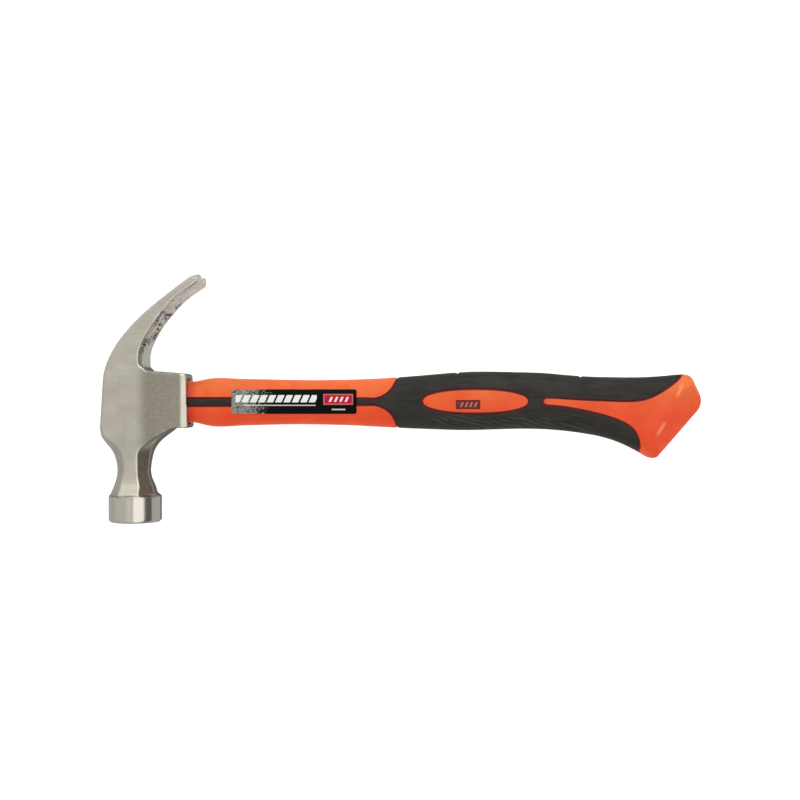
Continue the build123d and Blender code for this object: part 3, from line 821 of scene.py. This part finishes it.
# fine lengthwise lines in the upper half
UPPER_FOOT_Y = (3.0, 6.0)
UPPER_ON_SIDE = (0.3, 0.6)
LINE_PITCH = 1.35
LINE_LEAN = -0.02
LINE_WANDER = 0.5
LINE_HEIGHT = 0.05
UNEVENNESS = 0.03

PITS = [(153.8, 6.8, 0.55), (152.7, 4.1, 0.6)]  # small moulding pits: X, Y, radius
PIT_DEPTH = 0.4
PIT_SLOPE = (0.4, 2.0)  # in radii
NIBS = [178.9, 247.0]  # X of the nicks on the grip's upper edge
NIB_DEPTH = 0.6
NIB_SLOPE = (0.3, 1.1)
NIB_FACING = 0.6


def distance_from(tree, places):
    """Distance in millimetres from every place to the nearest face of a tree."""
    found = [tree.find_nearest(at(*place))[3] for place in places]
    return np.array(found) / MM


def waves(x, y, broad, lean, wander, pitch):
    """Waves along the grip's side that lean and wander a little."""
    return np.cos(2 * math.pi * (y + lean * x + wander * broad) / pitch)


def build_grip(material, jacket_skin):
    """The soft grip with its moulded grooves, pits and nicks."""
    piece = dense_copy("grip_overmould", "grip_skin", GRIP_VOXEL)
    mesh = piece.data
    places, normals = surface(mesh)
    x, y, z = places.T
    sideways = np.abs(normals[:, 2])
    broad = fbm(places, scale=0.05, octaves=2)
    lower = falling(LOWER_TOP_Y, y) * rising(LOWER_START_X, x) * falling(LOWER_END_X, x)
    lower = lower * rising(ON_SIDE, sideways)
    diagonals = waves(x, y, broad, DIAGONAL_LEAN, DIAGONAL_WANDER, DIAGONAL_PITCH)
    wave = np.maximum(0.0, diagonals) ** 2
    worn = rising(WORN_PATCHES, fbm(places * np.array(WORN_STRETCH), scale=1.0))
    lower = lower * worn
    # painted shade in the grooves and a painted highlight on their crests
    point_value(mesh, "groove", lower * wave)
    point_value(mesh, "crest_highlight", lower * (1.0 - wave) ** CREST_SHARPNESS)
    point_value(mesh, "seam_shade_edge", falling(SEAM_SHADE_REACH, distance_from(jacket_skin, places)))
    upper = rising(UPPER_FOOT_Y, y) * rising(UPPER_ON_SIDE, sideways)
    lines = waves(x, y, broad, LINE_LEAN, LINE_WANDER, LINE_PITCH)
    depths = LINE_HEIGHT * upper * lines - DIAGONAL_DEPTH * lower * wave
    depths += UNEVENNESS * fbm(places, scale=0.2, octaves=2)
    for pit_x, pit_y, radius in PITS:
        away = np.hypot(x - pit_x, y - pit_y) / radius
        depths -= PIT_DEPTH * (z > 0) * falling(PIT_SLOPE, away)
    for nib_x in NIBS:
        depths -= NIB_DEPTH * (normals[:, 1] > NIB_FACING) * falling(NIB_SLOPE, np.abs(x - nib_x))
    displace(mesh, places, normals, depths)
    dress(piece, material)
    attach(piece, "root")
    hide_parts("grip_overmould")


# ---- all pieces ----------------------------------------------------------------------------------

build_head(steel())
jacket_skin = build_jacket(orange())
build_grip(soft_black(), jacket_skin)
# these CAD nodes are shown as they are, with their own materials
dress(nodes["epoxy_bond"], resin())
dress(nodes["fibreglass_core"], fibreglass())
dress(nodes["label"], label_film())


# ---- studio --------------------------------------------------------------------------------------

FLOOR_SIZE = 6.0
FLOOR_TONE = (0.92, 0.92, 0.92, 1)
FLOOR_ROUGHNESS = 0.9
FLOOR_GLOW = 0.7
WHITE = (1, 1, 1, 1)


def build_floor():
    bpy.ops.mesh.primitive_plane_add(size=FLOOR_SIZE, location=(0, 0, 0))
    floor = bpy.context.object
    floor.name = "floor"
    material = bpy.data.materials.new("floor_white")
    material.use_nodes = True
    shader = material.node_tree.nodes["Principled BSDF"]
    shader.inputs["Base Color"].default_value = FLOOR_TONE
    shader.inputs["Roughness"].default_value = FLOOR_ROUGHNESS
    shader.inputs["Specular IOR Level"].default_value = 0.0
    shader.inputs["Emission Color"].default_value = WHITE
    shader.inputs["Emission Strength"].default_value = FLOOR_GLOW
    floor.data.materials.append(material)
    floor.visible_glossy = False


# How the surroundings' brightness changes with direction. Each line says where a change starts and
# ends, and the brightness, or what it is multiplied by, before and after. Directions are in degrees
# from straight up, towards +X or towards +Y.
OVERHEAD_X = (-34, -20, 0.62, 0.77)
RIGHT_OF_MIDDLE_X = (-2, 4, 0.0, 0.54)
GAP_MIDDLE_X = -2.0
GAP_X = (0.8, 2.2, 0.5, 1.0)
LOW_RIGHT_X = (48, 54, 1.0, 0.1)
RIGHT_HORIZON_X = (86, 90, 0.0, 0.5)
SPOT_SQUEEZE_X = 0.5
SPOT = (2.0, 3.8, 0.3, 1.0)
CLAW_SIDE_Y = (14, 34, 1.0, 1.6)
FACE_SIDE_Y = (-50, -16, 0.88, 1.0)
# height of the direction: where the upper half ends, and the lower half's own brightness
BELOW_Z = (-0.06, 0.02, 1.0, 0.0)
BELOW_LEVEL_Z = (-0.97, -0.8, 0.12, 0.52)
WORLD_TONE = (1.0, 0.99, 0.975, 1)


def build_world():
    """Soft studio surroundings: a panel overhead, with a thin gap and a dark spot near its middle.

    It is brighter towards the claw tips and right of the middle, and dark low on the right.
    """
    world = bpy.data.worlds.new("studio")
    bpy.context.scene.world = world
    world.use_nodes = True
    g = Graph(world.node_tree)
    x, y, z = g.split(g.add("ShaderNodeTexCoord").outputs["Generated"])
    side = g.product(g.math("ARCTAN2", x, z), 180 / math.pi)
    fore = g.product(g.math("ARCTAN2", y, z), 180 / math.pi)
    base = g.math("ADD", g.ramp(side, *OVERHEAD_X), g.ramp(side, *RIGHT_OF_MIDDLE_X))
    gap = g.ramp(g.absolute(g.math("SUBTRACT", side, GAP_MIDDLE_X)), *GAP_X)
    base = g.product(base, gap, g.ramp(side, *LOW_RIGHT_X))
    level = g.math("ADD", base, g.ramp(side, *RIGHT_HORIZON_X))
    narrow = g.product(side, SPOT_SQUEEZE_X)
    away = g.math("SQRT", g.math("ADD", g.product(narrow, narrow), g.product(fore, fore)))
    level = g.product(level, g.ramp(away, *SPOT))
    level = g.product(level, g.ramp(fore, *CLAW_SIDE_Y), g.ramp(fore, *FACE_SIDE_Y))
    below = g.ramp(z, *BELOW_Z)
    upper = g.product(level, g.math("SUBTRACT", 1.0, below))
    level = g.math("ADD", upper, g.product(below, g.ramp(z, *BELOW_LEVEL_Z)))
    # seen directly, beyond the floor, the surroundings are plain and pale
    seen = g.add("ShaderNodeLightPath").outputs["Is Camera Ray"]
    unseen = g.product(level, g.math("SUBTRACT", 1.0, seen))
    back = g.nodes["Background"]
    g.link(g.math("ADD", unseen, seen), back.inputs["Strength"])
    back.inputs["Color"].default_value = WORLD_TONE


CAMERA_X_FROM_DATUM = 147.0
CAMERA_Y_FROM_DATUM = 1.1
CAMERA_DISTANCE = 650.0
VIEW_WIDTH = 444.4
SENSOR = 36.0
CLIP_START = 0.01
CLIP_END = 20


def build_camera():
    """A camera straight above the hammer, looking down."""
    camera = bpy.data.cameras.new("camera")
    camera.sensor_width = SENSOR
    camera.lens = SENSOR * CAMERA_DISTANCE / VIEW_WIDTH
    camera.clip_start = CLIP_START
    camera.clip_end = CLIP_END
    eye = bpy.data.objects.new("camera", camera)
    eye.location = at(CAMERA_X_FROM_DATUM, CAMERA_Y_FROM_DATUM, CAMERA_DISTANCE)
    bpy.context.scene.collection.objects.link(eye)
    bpy.context.scene.camera = eye


build_floor()
build_world()
build_camera()
bpy.context.scene.view_settings.view_transform = "Standard"
